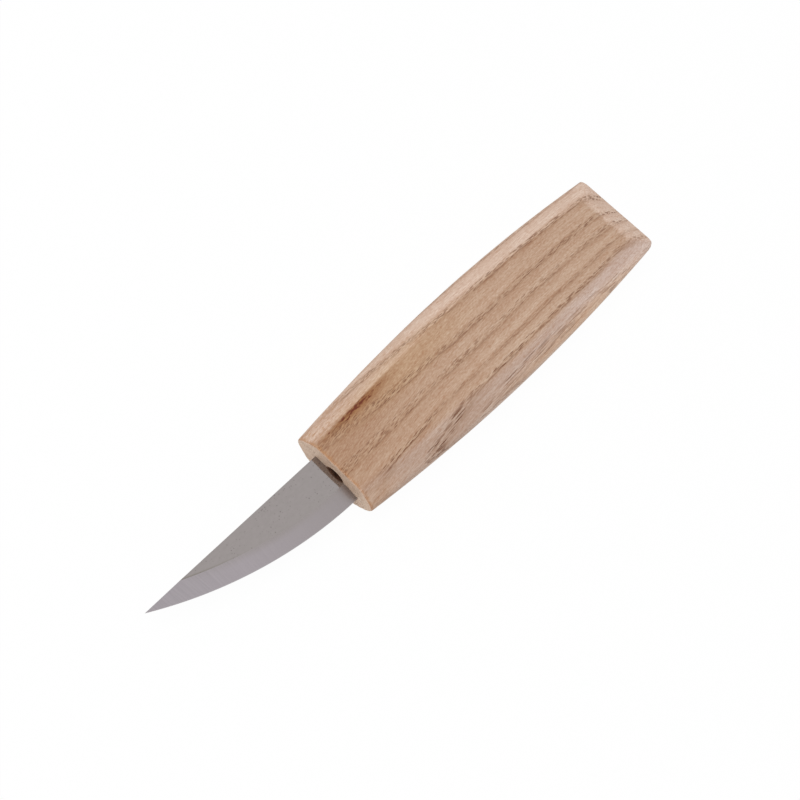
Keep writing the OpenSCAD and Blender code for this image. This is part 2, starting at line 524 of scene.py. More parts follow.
@dataclass(frozen=True)
class OpenPores:
    """Rows of open pores at the end of each ring, in cells that the surface cuts open.

    A pore shows longest on the edge-side bevels and round on the end grain. Cells are given along the
    handle, round the pith and out from it. The pores are torn wider on the edge side near the front,
    clogged with dust on the bevels there, and smeared over on the sawn ends.
    """

    short_mm: Triple = (2.2, 0.27, 0.24)
    long_mm: Triple = (7.0, 0.34, 0.3)
    round_mm: Triple = (2.7, 0.75, 0.55)
    hole: Change = Change(0.5, 0.36)
    wall: Change = Change(0.5, 0.7)
    depth: Change = Change(0.2, 0.7, 0.35, 1.0)
    row_start: Change = Change(0.0, 0.15)
    torn_behind: Change = Change(34.0, 20.0, 1.0, 2.6)
    torn_across: Change = Change(3.0, 6.0, 1.0)
    most_open: float = 1.3
    patch_mm: Triple = (9, 5, 2.5)
    patch: Change = Change(0.36, 0.56, 0.55, 1.0)
    bevel_facing: Change = Change(0.2, 0.45)
    clogged_behind: Change = Change(9.0, 19.0, 0.15, 1.0)
    long_behind: Change = Change(45.0, 75.0, 1.0, 0.62)
    end_facing: Change = Change(0.3, 0.5)
    chamfer_across: Change = Change(4.0, 9.0, 1.2, 0.5)
    smeared_facing: Change = Change(0.62, 0.85, high=0.45)
    line_rows: Change = Change(0.78, 0.9)
    line_mm: Triple = (6, 4, 2)
    line_gaps: Change = Change(0.46, 0.6)
    line_depth: float = 0.6
    line_end_facing: Change = Change(0.5, 0.3, 0.15)
    line_torn_facing: Change = Change(0.6, 0.5, 0.0, 0.12)
    line_planed_behind: Change = Change(8.0, 20.0)
    line_planed_facing: Change = Change(0.5, 0.62)

    def cells(self, wood: WoodPlace, size_mm: Triple) -> tuple[Source, Source]:
        """Adds nodes for pores all through the wood.

        Args:
            wood: Place in the wood.
            size_mm: Size of a pore's cell.

        Returns:
            The pores' darkness and the wood between them, each from 0 to 1.
        """
        tree = wood.tree
        spots = add_node(tree, Node.MAPPING, {
            "Vector": wood.unrolled, "Scale": size_mm,
        }, vector_type="TEXTURE")
        found = add_node(tree, Node.CELLS, {"Vector": spots, "Scale": 1.0}, feature="F1").outputs
        hole, wall = (
            add_node(tree, Node.RANGE, {"Value": found["Distance"], **change.limits})
            for change in (self.hole, self.wall)
        )
        depth = add_node(tree, Node.RANGE, {"Value": found["Color"], **self.depth.limits})
        return add_node(tree, Node.MATH, {0: hole, 1: depth}, operation="MULTIPLY"), wall

    def strength(self, wood: WoodPlace, rows: Source, openness: Source) -> bpy.types.Node:
        """Adds nodes for how strongly the pores show.

        Args:
            wood: Place in the wood.
            rows: Share of the way across the ring's rows of pores.
            openness: How open the ring's pores are here.

        Returns:
            The node with the strength, from 0 to 1.
        """
        tree = wood.tree
        band = add_node(tree, Node.RANGE, {"Value": rows, **self.row_start.limits, "To Max": openness})
        patches = stretched_noise(tree, wood.unrolled, self.patch_mm)
        patch = add_node(tree, Node.RANGE, {"Value": patches, **self.patch.limits})
        dusty = add_node(tree, Node.RANGE, {"Value": wood.behind_face, **self.clogged_behind.limits})
        clogged = add_node(tree, Node.RANGE, {
            "Value": wood.sideways, **self.bevel_facing.limits, "To Min": 1.0, "To Max": dusty,
        })
        on_chamfer = add_node(tree, Node.RANGE, {"Value": wood.across, **self.chamfer_across.limits})
        smeared = add_node(tree, Node.RANGE, {
            "Value": wood.endwise, **self.smeared_facing.limits, "To Min": on_chamfer,
        })
        end = add_node(tree, Node.RANGE, {
            "Value": wood.endwise, **self.end_facing.limits, "To Min": 1.0, "To Max": smeared,
        })
        strength = band
        for share in (patch, clogged, end):
            strength = add_node(tree, Node.MATH, {0: strength, 1: share}, operation="MULTIPLY")
        return add_node(tree, Node.MATH, {0: strength, 1: 1.0}, operation="MINIMUM")

    def last_line(self, wood: WoodPlace, rows: Source, openness: Source, torn: Source) -> bpy.types.Node:
        """Adds nodes for the thin line that the last pores run together into, here and there.

        Args:
            wood: Place in the wood.
            rows: Share of the way across the ring's rows of pores.
            openness: How open the ring's pores are here.
            torn: How much wider the pores are torn here.

        Returns:
            The node with the line's darkness.
        """
        tree = wood.tree
        at_end = add_node(tree, Node.RANGE, {"Value": rows, **self.line_rows.limits})
        torn_facing = add_node(tree, Node.RANGE, {"Value": wood.sideways, **self.line_torn_facing.limits})
        tearing = Change(self.torn_behind.low, self.torn_behind.high)
        surely = add_node(tree, Node.RANGE, {"Value": torn, **tearing.limits, "To Max": torn_facing})
        joined = add_node(tree, Node.MATH, {
            0: stretched_noise(tree, wood.unrolled, self.line_mm), 1: surely,
        }, operation="ADD")
        deep = add_node(tree, Node.MATH, {0: openness, 1: self.line_depth}, operation="MULTIPLY")
        deepest = add_node(tree, Node.RANGE, {
            "Value": wood.endwise, **self.line_end_facing.limits, "To Max": deep,
        })
        line = add_node(tree, Node.RANGE, {"Value": joined, **self.line_gaps.limits, "To Max": deepest})
        planed = add_node(tree, Node.RANGE, {"Value": wood.behind_face, **self.line_planed_behind.limits})
        left = add_node(tree, Node.MATH, {0: line, 1: planed}, operation="MULTIPLY")
        kept = add_node(tree, Node.RANGE, {
            "Value": wood.sideways, **self.line_planed_facing.limits, "To Min": line, "To Max": left,
        })
        return add_node(tree, Node.MATH, {0: at_end, 1: kept}, operation="MULTIPLY")

    def show(self, wood: WoodPlace, rows: Source, openness: Source) -> tuple[Source, Source, Source]:
        """Adds nodes for the open pores.

        Args:
            wood: Place in the wood.
            rows: Share of the way across the ring's rows of pores.
            openness: How open the ring's pores are.

        Returns:
            How porous the wood is, the pores' darkness and the lit wood between them, each from 0 to 1.
        """
        tree = wood.tree
        tearing = add_node(tree, Node.RANGE, {"Value": wood.behind_face, **self.torn_behind.limits})
        torn = add_node(tree, Node.RANGE, {
            "Value": wood.across, **self.torn_across.limits, "To Max": tearing,
        })
        opened = add_node(tree, Node.MATH, {0: openness, 1: torn}, operation="MULTIPLY")
        openness = add_node(tree, Node.MATH, {0: opened, 1: self.most_open}, operation="MINIMUM")
        strength = self.strength(wood, rows, openness)

        split_open = add_node(tree, Node.RANGE, {"Value": wood.edgeward, **self.bevel_facing.limits})
        sawn_across = add_node(tree, Node.RANGE, {"Value": wood.endwise, **self.end_facing.limits})
        narrower = add_node(tree, Node.RANGE, {"Value": wood.behind_face, **self.long_behind.limits})
        kinds = [self.cells(wood, size) for size in (self.short_mm, self.long_mm, self.round_mm)]
        shown = []
        for short, long, round_hole in zip(*kinds):
            split = add_node(tree, Node.MATH, {0: long, 1: narrower}, operation="MULTIPLY")
            lengthwise = add_node(tree, Node.MIX, {"Factor": split_open, "A": short, "B": split})
            cut = add_node(tree, Node.MIX, {"Factor": sawn_across, "A": lengthwise, "B": round_hole})
            shown.append(add_node(tree, Node.MATH, {0: cut, 1: strength}, operation="MULTIPLY"))
        pores, rims = shown
        line = self.last_line(wood, rows, openness, torn)
        return strength, add_node(tree, Node.MATH, {0: pores, 1: line}, operation="MAXIMUM"), rims


@dataclass(frozen=True)
class BarkStreak:
    """Dark streak of ingrown bark on the upper broad side, near the front, with a stain round it."""

    spot: Spot = Spot((-14.8, -8.6, 7.5), (8.6, 1.35, 4.0))
    crumb_mm: Triple = (1.5, 0.45, 0.45)
    raggedness: float = 4.0
    core: Change = Change(2.75, 2.2)
    stain: Change = Change(2.3, 0.2, 0.0, 0.8)
    broad_facing: Change = Change(0.86, 0.92)

    def cover(self, wood: WoodPlace) -> tuple[Source, Source]:
        """Adds nodes for the streak.

        Args:
            wood: Place in the wood.

        Returns:
            The streak and the stain round it, each from 0 to 1.
        """
        tree = wood.tree
        away = self.spot.away(wood)
        crumbs = stretched_noise(tree, wood.from_seat, self.crumb_mm, 3.0)
        ragged = add_node(tree, Node.MATH, {0: crumbs, 1: self.raggedness, 2: away}, operation="MULTIPLY_ADD")
        core = add_node(tree, Node.RANGE, {"Value": ragged, **self.core.limits})
        stain = add_node(tree, Node.RANGE, {
            "Value": away, **self.stain.limits,
        }, interpolation_type="SMOOTHSTEP")
        kept = add_node(tree, Node.RANGE, {"Value": wood.upright, **self.broad_facing.limits})
        streak, stained = (
            add_node(tree, Node.MATH, {0: share, 1: kept}, operation="MULTIPLY") for share in (core, stain)
        )
        return streak, stained


@dataclass(frozen=True)
class HandledWood:
    """Brown that hands and bark have left in the wood: in slow clouds, at the front and round the streak."""

    browned: str = "#A47C5E"
    behind: Change = Change(48.0, 0.0)
    across: Change = Change(0.0, 8.0, 0.7, 0.36)
    broad_facing: Change = Change(0.8, 0.95, 0.1, 1.0)
    cloud_mm: Triple = (16, 5, 5)
    clouds: Change = Change(0.42, 0.7, 0.0, 0.15)
    golden: Spot = Spot((-30.0, -8.0, 8.5), (36.0, 7.0, 6.5), 0.4)
    golden_tint: str = "#B68F66"
    stain_tint: str = "#8A5420"

    def tint(self, wood: WoodPlace, colour: Source, stain: Source) -> Source:
        """Adds nodes that make the wood browner.

        Args:
            wood: Place in the wood.
            colour: Colour of the rings.
            stain: Stain round the streak of bark.

        Returns:
            The new colour.
        """
        tree = wood.tree
        beside = add_node(tree, Node.RANGE, {"Value": wood.across, **self.across.limits})
        gripped = add_node(tree, Node.RANGE, {
            "Value": wood.behind_face, **self.behind.limits, "To Max": beside,
        })
        broad = add_node(tree, Node.RANGE, {"Value": wood.upright, **self.broad_facing.limits})
        handled = add_node(tree, Node.MATH, {0: gripped, 1: broad}, operation="MULTIPLY")
        clouds = stretched_noise(tree, wood.grain, self.cloud_mm)
        cloud = add_node(tree, Node.RANGE, {"Value": clouds, **self.clouds.limits})
        browner = add_node(tree, Node.MATH, {0: handled, 1: cloud}, operation="MAXIMUM")
        golden = self.golden.fade(wood)
        return lay_coats(
            tree, colour, (browner, self.browned), (golden, self.golden_tint), (stain, self.stain_tint),
        )


@dataclass(frozen=True)
class PaleCutsAndPaintedLight:
    """Paler bevels and ends: partly as they were cut last, and partly painted light.

    The bevels and the ends are painted paler, as if lit from the sides and the front. The edge-side bevels
    are greyer and pale only towards the butt, the narrow sides are browner as painted shade, and the sawn
    ends are palest.
    """

    blur_mm: Triple = (5, 0.7, 0.7)
    arris_blur: float = 0.14
    worn_behind: Change = Change(32.0, 8.0, 0.0, 0.09)
    arris_facing: float = 1.03
    bevel_facing: Change = Change(0.0, 0.5, 0.93, 0.65)
    edge_behind: Change = Change(35.0, 95.0)
    spine_behind: Change = Change(34.0, 50.0, 0.64, 0.94)
    spine_to_edge: Change = Change(-0.1, 0.2)
    end_blur: float = 0.3
    end_facing: Change = Change(0.4, 0.6)
    edge_facing: Change = Change(0.1, 0.5)
    edge_gain: Triple = (1.05, 1.09, 1.19)
    # Gain for the bevels and ends: partly fresh cuts, partly painted light
    fresh_and_painted_light_gain: Triple = (1.31, 1.42, 1.58)
    # Painted shade on the narrow sides, which turn away from the overhead light
    painted_side_shade: str = "#B48C6C"
    side_behind: Change = Change(14.0, 28.0, 0.1, 0.5)
    side_edgeward: Change = Change(0.0, 0.5, high=0.15)
    side_facing: Change = Change(0.5, 0.2)
    # Painted light on the edge side, near the butt and near the front
    painted_light_tint: str = "#E9C3A1"
    painted_light_spots: tuple[Spot, ...] = (
        Spot((-88.0, 15.5, 4.0), (58.0, 4.5, 8.0), 0.52), Spot((-2.0, 12.0, 4.0), (13.0, 5.0, 6.0), 0.22),
    )
    sawn_tint: str = "#DFC2A9"
    sawn_facing: Change = Change(0.85, 0.97, 0.0, 0.75)

    def bevel(self, wood: WoodPlace, blur: Source) -> bpy.types.Node:
        """Adds nodes for how pale the bevels are painted, partly as fresh cuts and partly as painted light.

        Args:
            wood: Place in the wood.
            blur: Pattern that blurs the line of the arrises.

        Returns:
            The node with the freshness, from 0 to 1.
        """
        tree = wood.tree
        worn = add_node(tree, Node.RANGE, {"Value": wood.behind_face, **self.worn_behind.limits})
        rounded = add_node(tree, Node.MATH, {0: wood.upright, 1: worn}, operation="ADD")
        blurred = add_node(tree, Node.MATH, {
            0: blur, 1: self.arris_blur, 2: rounded,
        }, operation="MULTIPLY_ADD")
        bound = add_node(tree, Node.RANGE, {"Value": wood.edgeward, **self.bevel_facing.limits})
        on_spine, on_edge = (
            add_node(tree, Node.RANGE, {"Value": wood.behind_face, **change.limits})
            for change in (self.spine_behind, self.edge_behind)
        )
        palest = add_node(tree, Node.RANGE, {
            "Value": wood.edgeward, **self.spine_to_edge.limits, "To Min": on_spine, "To Max": on_edge,
        })
        return add_node(tree, Node.RANGE, {
            "Value": blurred, "From Min": self.arris_facing, "From Max": bound,
            "To Min": 0.0, "To Max": palest,
        }, interpolation_type="SMOOTHSTEP")

    def tint(self, wood: WoodPlace, colour: Source) -> Source:
        """Adds nodes that make the bevels and the ends paler, partly as painted light, with painted shade on
        the narrow sides and painted light on the edge side.

        Args:
            wood: Place in the wood.
            colour: Colour of the broad sides.

        Returns:
            The new colour.
        """
        tree = wood.tree
        blur = stretched_noise(tree, wood.grain, self.blur_mm)
        end_blurred = add_node(tree, Node.MATH, {
            0: blur, 1: self.end_blur, 2: wood.endwise,
        }, operation="MULTIPLY_ADD")
        end = add_node(tree, Node.RANGE, {
            "Value": end_blurred, **self.end_facing.limits,
        }, interpolation_type="SMOOTHSTEP")
        # Painted light, partly: the bevels and ends are made paler as if lit from the sides and the front
        fresh_and_painted_light = add_node(tree, Node.MATH, {0: self.bevel(wood, blur), 1: end}, operation="MAXIMUM")
        edge = add_node(tree, Node.RANGE, {"Value": wood.edgeward, **self.edge_facing.limits})
        for cover, gain in ((edge, self.edge_gain), (fresh_and_painted_light, self.fresh_and_painted_light_gain)):
            paler = add_node(tree, Node.VECTOR_MATH, {0: colour, 1: gain}, operation="MULTIPLY")
            colour = add_node(tree, Node.MIX, {"Factor": cover, "A": colour, "B": paler}, data_type="RGBA")

        # Painted shade: the narrow sides are made browner, most of all on the spine side
        spine_side = add_node(tree, Node.RANGE, {"Value": wood.behind_face, **self.side_behind.limits})
        brownest = add_node(tree, Node.RANGE, {
            "Value": wood.edgeward, **self.side_edgeward.limits, "To Min": spine_side,
        })
        narrow = add_node(tree, Node.RANGE, {
            "Value": wood.upright, **self.side_facing.limits, "To Max": brownest,
        }, interpolation_type="SMOOTHSTEP")
        side = add_node(tree, Node.MATH, {0: narrow, 1: end}, operation="SUBTRACT", use_clamp=True)
        sawn = add_node(tree, Node.RANGE, {"Value": wood.endwise, **self.sawn_facing.limits})
        # Painted light: the edge side is made paler in two spots, as if lit from that side
        painted_light_spots = [(spot.fade(wood), self.painted_light_tint) for spot in self.painted_light_spots]
        return lay_coats(tree, colour, (side, self.painted_side_shade), *painted_light_spots, (sawn, self.sawn_tint))


@dataclass(frozen=True)
class BurnishedFront:
    """Burnished line along the front face's arris, and torn fibres on the spine-side bevel there."""

    browned: str = "#B07D53"
    worn_mm: Triple = (1.5, 1.2, 1.2)
    worn_depth_mm: float = 2.4
    arris_behind: Change = Change(2.5, 1.2, 0.0, 0.75)
    outside_facing: Change = Change(0.97, 0.75)
    torn: Spot = Spot((0.0, -12.0, 4.0), (23.0, 6.0, 9.0), 0.85)
    crumb_mm: Triple = (1.6, 0.6, 0.6)
    crumbs: Change = Change(0.5, 0.68)

    def tint(self, wood: WoodPlace, colour: Source) -> bpy.types.Node:
        """Adds nodes for the line and the fibres.

        Args:
            wood: Place in the wood.
            colour: Colour of the wood round them.

        Returns:
            The node with the new colour.
        """
        tree = wood.tree
        worn = stretched_noise(tree, wood.from_seat, self.worn_mm)
        worn_behind = add_node(tree, Node.MATH, {
            0: worn, 1: self.worn_depth_mm, 2: wood.behind_face,
        }, operation="MULTIPLY_ADD")
        arris = add_node(tree, Node.RANGE, {
            "Value": worn_behind, **self.arris_behind.limits,
        }, interpolation_type="SMOOTHSTEP")
        crumbs = stretched_noise(tree, wood.grain, self.crumb_mm, 3.0)
        torn = add_node(tree, Node.RANGE, {
            "Value": crumbs, **self.crumbs.limits, "To Max": self.torn.fade(wood),
        })
        marked = add_node(tree, Node.MATH, {0: arris, 1: torn}, operation="MAXIMUM")
        outside = add_node(tree, Node.RANGE, {"Value": wood.endwise, **self.outside_facing.limits})
        browner = add_node(tree, Node.MATH, {0: marked, 1: outside}, operation="MULTIPLY")
        return lay_coats(tree, colour, (browner, self.browned))


@dataclass(frozen=True)
class FibrePattern:
    """Lighter and darker fibres of one size: their length, width and height, how refined and how strong."""

    size_mm: Triple
    detail: float
    strength: float


@dataclass(frozen=True)
class SandedAsh:
    """Ash, sanded and lightly oiled: pale brown, ring-porous, with rows of open pores along every ring.

    The rings are cut at a slant, so their lines run along the broad sides, spread into broad dashed
    patches on the edge-side bevels and turn to rows of dots on the end grain. Oil soaks into the rows
    of pores, most of all on the spine side. Places are in millimetres from the seat.
    """

    growth: GrowthRings
    pores: OpenPores = OpenPores()
    bark_streak: BarkStreak = BarkStreak()
    handling: HandledWood = HandledWood()
    cuts_and_painted_light: PaleCutsAndPaintedLight = PaleCutsAndPaintedLight()
    front: BurnishedFront = BurnishedFront()
    ring_tones: tuple[tuple[float, str], ...] = (
        (0.0, "#AF8C72"), (0.05, "#B39178"), (0.12, "#BD9C84"), (0.35, "#C0A088"), (0.68, "#C3A38B"),
        (0.78, "#BA987F"), (0.9, "#B7957C"), (1.0, "#B38F76"),
    )
    soaked: str = "#A07858"
    soaked_facing: Change = Change(-0.45, -0.15, 0.34, 0.17)
    pore: str = "#774D33"
    bark: str = "#66290C"
    fibres: tuple[FibrePattern, ...] = (
        FibrePattern((34, 1.6, 1.6), 2.0, 0.3), FibrePattern((10, 0.32, 0.32), 3.0, 0.5),
        FibrePattern((0.9, 0.28, 0.28), 1.0, 0.6),
    )
    # Sanding scratches, drawn lighter: partly real scratches, partly a painted sheen across the grain
    scratches_and_sheen: FibrePattern = FibrePattern((7, 0.3, 3), 1.0, 0.05)
    scratch_turn: float = math.radians(-28)
    rim_light: float = 0.17
    fibre_gain: Triple = (0.85, 1.4, 1.8)
    roughness: float = 0.58
    pore_bump: float = 0.6
    pore_depth_mm: float = 0.1

    def fibre_shade(self, wood: WoodPlace, rims: Source) -> bpy.types.Node:
        """Adds nodes for the lightness of the fibres and flecks, and of the sanding scratches, which partly
        carry a painted sheen.

        Args:
            wood: Place in the wood.
            rims: Lit wood between the pores.

        Returns:
            The node with the lightness, which is 1 on average.
        """
        tree = wood.tree
        kinds = [(fibre, wood.grain, 0.0) for fibre in self.fibres]
        kinds.append((self.scratches_and_sheen, wood.from_seat, self.scratch_turn))
        rest = 1 - sum(kind.strength for kind, _, _ in kinds) / 2
        shade = add_node(tree, Node.MATH, {0: rims, 1: self.rim_light, 2: rest}, operation="MULTIPLY_ADD")
        for kind, place, turn in kinds:
            pattern = stretched_noise(tree, place, kind.size_mm, kind.detail, turn)
            shade = add_node(tree, Node.MATH, {
                0: pattern, 1: kind.strength, 2: shade,
            }, operation="MULTIPLY_ADD")
        return shade

    def material(self, seat: Seat) -> bpy.types.Material:
        """Builds the material.

        Args:
            seat: Place that the grain is measured from.

        Returns:
            The material.
        """
        material = new_material("sanded_ash")
        tree = material.node_tree
        wood = self.growth.find_place(tree, seat)

        # Colour across one ring, from the dark line at its start to the pores at its end
        share, rows, openness = self.growth.cross(wood)
        tone = add_node(tree, Node.RAMP, {"Fac": share})
        fill_ramp(tone, self.ring_tones)
        streak, stain = self.bark_streak.cover(wood)
        porous, pores, rims = self.pores.show(wood, rows, openness)
        oily = add_node(tree, Node.RANGE, {"Value": wood.edgeward, **self.soaked_facing.limits})
        oiled = add_node(tree, Node.MATH, {0: oily, 1: porous}, operation="MULTIPLY")
        handled = self.handling.tint(wood, lay_coats(tree, tone, (oiled, self.soaked)), stain)
        colour = self.front.tint(wood, self.cuts_and_painted_light.tint(wood, handled))

        shade = self.fibre_shade(wood, rims)
        lighter = add_node(tree, Node.MATH, {0: shade, 1: 1.0}, operation="SUBTRACT")
        gain = add_node(tree, Node.VECTOR_MATH, {
            0: lighter, 1: self.fibre_gain, 2: (1, 1, 1),
        }, operation="MULTIPLY_ADD")
        shaded = add_node(tree, Node.VECTOR_MATH, {0: colour, 1: gain}, operation="MULTIPLY")
        colour = lay_coats(tree, shaded, (pores, self.pore), (streak, self.bark))

        height = add_node(tree, Node.MATH, {0: pores, 1: -1.0, 2: shade}, operation="MULTIPLY_ADD")
        bump = add_node(tree, Node.BUMP, {
            "Strength": self.pore_bump, "Distance": self.pore_depth_mm * MM, "Height": height,
        })
        surface = add_node(tree, Node.SURFACE, {
            "Base Color": colour, "Roughness": self.roughness, "Normal": bump,
        })
        add_node(tree, Node.OUTPUT, {"Surface": surface})
        return material


@dataclass(frozen=True)
class CloudedFinish:
    """Finish of two tones in soft clouds, which also make it a little uneven."""

    name: str
    base: str
    clouded: str
    cloud_mm: float
    roughness: float
    unevenness: float
    depth_mm: float = 0.1

    def material(self) -> bpy.types.Material:
        """Builds the material.

        Returns:
            The material.
        """
        material = new_material(self.name)
        tree = material.node_tree
        clouds = stretched_noise(tree, place_in_mm(tree), (self.cloud_mm,) * 3, 4.0)
        tone = lay_coats(tree, linear(self.base), (clouds, self.clouded))
        bump = add_node(tree, Node.BUMP, {
            "Strength": self.unevenness, "Distance": self.depth_mm * MM, "Height": clouds,
        })
        surface = add_node(tree, Node.SURFACE, {
            "Base Color": tone, "Roughness": self.roughness, "Normal": bump,
        })
        add_node(tree, Node.OUTPUT, {"Surface": surface})
        return material


@dataclass(frozen=True)
class DrilledAsh(CloudedFinish):
    """Bare ash in the drilled bore: fuzzy, browned here and there by the drill, and pale, partly as painted
    light.
    """

    name: str = "drilled_ash"
    # Painted light: the walls are paler than the ash outside, to brighten the deep, shaded bore
    base: str = "#F0C3A4"
    clouded: str = "#D6A282"
    cloud_mm: float = 0.8
    roughness: float = 0.85
    unevenness: float = 0.5


@dataclass(frozen=True)
class CuredEpoxy(CloudedFinish):
    """Amber epoxy, cured in the bore: glossy, cloudy with wood dust."""

    name: str = "cured_epoxy"
    base: str = "#8A7346"
    clouded: str = "#A58D60"
    cloud_mm: float = 1.5
    roughness: float = 0.3
    unevenness: float = 0.3


@dataclass(frozen=True)
class SatinSteel:
    """Carbon steel, rolled and finely polished: an even grey that mirrors what is close.

    Small pits are scattered over it, most of them towards the spine, and the wheel has burnt a dark line
    along the bevel, which fades towards the heel.
    """

    shaded: str = "#96908E"
    lit: str = "#A09998"
    pitted: str = "#5E5856"
    burnt: str = "#857F78"
    mottle_mm: Triple = (1.4, 0.8, 0.8)
    pit_spacing_mm: float = 0.6
    pit_radius: Change = Change(0.42, 0.85, 0.04, 0.42)
    pit_bottom: float = 0.03
    patch_mm: Triple = (7, 4, 4)
    spineward_mm: Change = Change(2.0, -5.0, -0.08, 0.08)
    crowding: Change = Change(0.38, 0.58, 0.0, 0.8)
    burnt_mm: float = 0.5
    burnt_along: Change = Change(0.5, 0.75)
    roughness: float = 0.08

    def pits(self, tree: Tree, place: Source) -> bpy.types.Node:
        """Adds nodes for the pits.

        Args:
            tree: Node tree that takes the nodes.
            place: Place in the part's frame, in millimetres.

        Returns:
            The node with the pits' darkness, from 0 to 1.
        """
        spots = add_node(tree, Node.MAPPING, {
            "Vector": place, "Scale": (self.pit_spacing_mm,) * 3,
        }, vector_type="TEXTURE")
        found = add_node(tree, Node.CELLS, {"Vector": spots, "Scale": 1.0}, feature="F1").outputs
        radius = add_node(tree, Node.RANGE, {"Value": found["Color"], **self.pit_radius.limits})
        pits = add_node(tree, Node.RANGE, {
            "Value": found["Distance"], "From Min": radius, "From Max": self.pit_bottom,
        })
        across = add_node(tree, Node.SEPARATE, {0: place}).outputs["Y"]
        spineward = add_node(tree, Node.RANGE, {"Value": across, **self.spineward_mm.limits})
        crowding = add_node(tree, Node.MATH, {
            0: stretched_noise(tree, place, self.patch_mm), 1: spineward,
        }, operation="ADD")
        patch = add_node(tree, Node.RANGE, {"Value": crowding, **self.crowding.limits})
        return add_node(tree, Node.MATH, {0: pits, 1: patch}, operation="MULTIPLY")

    def material(self, edge_mm: float, bevel_mm: float) -> bpy.types.Material:
        """Builds the material.

        Args:
            edge_mm: Length of the edge, over which the burnt line fades.
            bevel_mm: Distance of the bevel's upper line from the edge.

        Returns:
            The material.
        """
        material = new_material("polished_carbon_steel")
        tree = material.node_tree
        place = place_in_mm(tree)
        mottling = stretched_noise(tree, place, self.mottle_mm, 3.0)
        at = add_node(tree, Node.SEPARATE, {0: place_in_mm(tree, GRIND_MAP)}).outputs
        line = Change(bevel_mm + self.burnt_mm, bevel_mm)
        beside = add_node(tree, Node.RANGE, {"Value": at["Y"], **line.limits})
        share = add_node(tree, Node.MATH, {0: at["X"], 1: edge_mm}, operation="DIVIDE")
        tipward = add_node(tree, Node.RANGE, {"Value": share, **self.burnt_along.limits})
        burning = add_node(tree, Node.MATH, {0: beside, 1: tipward}, operation="MULTIPLY")
        pits = self.pits(tree, place)
        tone = lay_coats(
            tree, linear(self.shaded), (mottling, self.lit), (pits, self.pitted), (burning, self.burnt),
        )
        surface = add_node(tree, Node.SURFACE, {
            "Base Color": tone, "Metallic": 1.0, "Roughness": self.roughness,
        })
        add_node(tree, Node.OUTPUT, {"Surface": surface})
        return material


@dataclass(frozen=True)
class GroundSteel:
    """Carbon steel, ground on a fine belt: a lighter grey with close lines across the bevel.

    The lines are drawn coarser than the belt's grit, so that they show. They lean over and deepen
    towards the tip, and the grind line is rounded off into the flat towards the heel.
    """

    name: str
    heel: str
    middle: str
    tip: str
    flat: str = "#9B9493"
    middle_along: float = 0.55
    rounding_share: float = 0.6
    rounding_along: Change = Change(0.85, 0.35)
    line_width_mm: float = 0.45
    line_length_mm: float = 9.0
    line_lean: Change = Change(0.4, 1.0, -0.1, -0.8)
    line_contrast: Change = Change(0.4, 1.0, 0.08, 0.4)
    line_bump: float = 0.15
    line_depth_mm: float = 0.02
    roughness: float = 0.28

    def material(self, edge_mm: float, bevel_mm: float) -> bpy.types.Material:
        """Builds the material.

        Args:
            edge_mm: Length of the edge, over which the tone changes.
            bevel_mm: Distance of the bevel's upper line from the edge.

        Returns:
            The material.
        """
        material = new_material(self.name)
        tree = material.node_tree
        at = add_node(tree, Node.SEPARATE, {0: place_in_mm(tree, GRIND_MAP)}).outputs
        share = add_node(tree, Node.MATH, {0: at["X"], 1: edge_mm}, operation="DIVIDE")
        tone = add_node(tree, Node.RAMP, {"Fac": share})
        fill_ramp(tone, ((0.0, self.heel), (self.middle_along, self.middle), (1.0, self.tip)))
        near_line = add_node(tree, Node.RANGE, {
            "Value": at["Y"], **Change(bevel_mm * self.rounding_share, bevel_mm).limits,
        }, interpolation_type="SMOOTHSTEP")
        heelward, lean, contrast = (
            add_node(tree, Node.RANGE, {"Value": share, **change.limits})
            for change in (self.rounding_along, self.line_lean, self.line_contrast)
        )
        rounded = add_node(tree, Node.MATH, {0: near_line, 1: heelward}, operation="MULTIPLY")
        run_out = lay_coats(tree, tone, (rounded, self.flat))

        leaning = add_node(tree, Node.MATH, {0: at["Y"], 1: lean, 2: at["X"]}, operation="MULTIPLY_ADD")
        around = add_node(tree, Node.COMBINE, {"X": leaning, "Y": at["Y"]})
        lines = stretched_noise(tree, around, (self.line_width_mm, self.line_length_mm, 1.0))
        line_tone = add_node(tree, Node.MATH, {0: lines, 1: 0.5}, operation="SUBTRACT")
        line_shade = add_node(tree, Node.MATH, {
            0: line_tone, 1: contrast, 2: 1.0,
        }, operation="MULTIPLY_ADD")
        lined = add_node(tree, Node.VECTOR_MATH, {0: run_out, "Scale": line_shade}, operation="SCALE")
        bump = add_node(tree, Node.BUMP, {
            "Strength": self.line_bump, "Distance": self.line_depth_mm * MM, "Height": lines,
        })
        surface = add_node(tree, Node.SURFACE, {
            "Base Color": lined, "Metallic": 1.0, "Roughness": self.roughness, "Normal": bump,
        })
        add_node(tree, Node.OUTPUT, {"Surface": surface})
        return material


def finish_piece(name: str, mesh_data: bmesh.types.BMesh, node: str) -> bpy.types.Object:
    """Turns a mesh into a piece that stands for a CAD node and rides with the knife.

    Args:
        name: Name of the piece.
        mesh_data: Mesh in the part's frame, which is freed.
        node: CAD node that the piece stands for.

    Returns:
        The piece's object.
    """
    bmesh.ops.recalc_face_normals(mesh_data, faces=mesh_data.faces)
    mesh = bpy.data.meshes.new(name)
    mesh_data.to_mesh(mesh)
    mesh_data.free()
    piece = bpy.data.objects.new(name, mesh)
    bpy.context.scene.collection.objects.link(piece)
    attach(piece, "root")
    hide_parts(node)
    log.info("%s: %d faces", name, len(mesh.polygons))
    return piece


class Facet(Enum):
    """Kinds of facet round the handle."""

    BROAD = "broad side"
    BEVEL = "corner bevel"
    SIDE = "narrow side"


